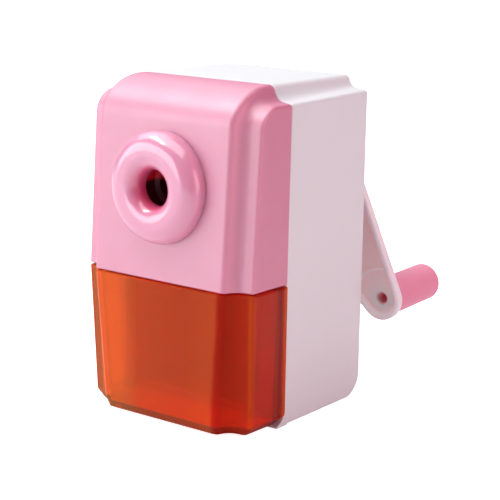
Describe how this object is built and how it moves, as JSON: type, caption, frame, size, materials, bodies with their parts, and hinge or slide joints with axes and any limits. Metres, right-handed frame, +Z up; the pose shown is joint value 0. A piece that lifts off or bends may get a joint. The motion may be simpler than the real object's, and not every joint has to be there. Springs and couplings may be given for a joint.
{
  "type": "pencil sharpener",
  "caption": "Hand-crank desktop pencil sharpener with a stepped case, a glossy pencil port ring, a clear orange pull-out shavings bin, and a rear crank and knob driving a helical cutter.",
  "frame": {"origin": "on the table, at the face of the anti-slip pad, under the middle of the body", "axes": "+Z up, -Y out of the front (the pencil port side), +X to the right seen from the front"},
  "size_m": [0.0569, 0.0901, 0.0851],
  "materials": {
    "white_plastic": "satin moulded plastic",
    "pink_satin": "satin moulded plastic",
    "pink_gloss": "glossy moulded plastic",
    "amber_clear": "clear tinted plastic",
    "dark_plastic": "dark red moulded plastic",
    "maroon_plastic": "maroon moulded plastic",
    "inner_plastic": "moulded plastic",
    "steel": "plated steel",
    "cutter_steel": "ground tool steel",
    "bronze": "sintered bronze",
    "rubber": "matt rubber"
  },
  "bodies": {
    "base": {"rear_housing": "white_plastic", "front_cover": "pink_satin", "pencil_port_ring": "pink_gloss", "pencil_guide": "dark_plastic", "mechanism_frame": "inner_plastic", "ring_gear": "inner_plastic", "case_screws": "steel", "rear_bush": "bronze", "base_pad": "rubber"},
    "crank": {"cutter_carrier": "maroon_plastic", "drive_shaft": "steel", "thrust_washer": "inner_plastic", "cutter_pin": "steel", "crank_arm": "white_plastic", "crank_washer": "steel", "crank_screw": "steel"},
    "cutter": {"helical_cutter": "cutter_steel", "cutter_pinion": "inner_plastic"},
    "knob": {"crank_knob": "pink_gloss"},
    "bin": {"shavings_bin": "amber_clear"}
  },
  "joints": [
    {"name": "crank_spin", "type": "hinge", "parent": "base", "child": "crank", "pos_m": [0, 0.032, 0.0599], "axis": [0, 1, 0], "continuous": true},
    {"name": "cutter_spin", "type": "hinge", "parent": "crank", "child": "cutter", "pos_m": [0, -0.0052, 0.0696], "axis": [0, 0.9799, -0.1994], "continuous": true},
    {"name": "knob_spin", "type": "hinge", "parent": "crank", "child": "knob", "pos_m": [0.0248, 0.0375, 0.02487], "axis": [-0.0222, 0.9993, 0.0313], "continuous": true},
    {"name": "bin_slide", "type": "slide", "parent": "base", "child": "bin", "axis": [0, -1, 0], "range_m": [0, 0.05]}
  ],
  "couplings": [
    {"joint": "cutter_spin", "follows": "crank_spin", "ratio": -3}
  ]
}
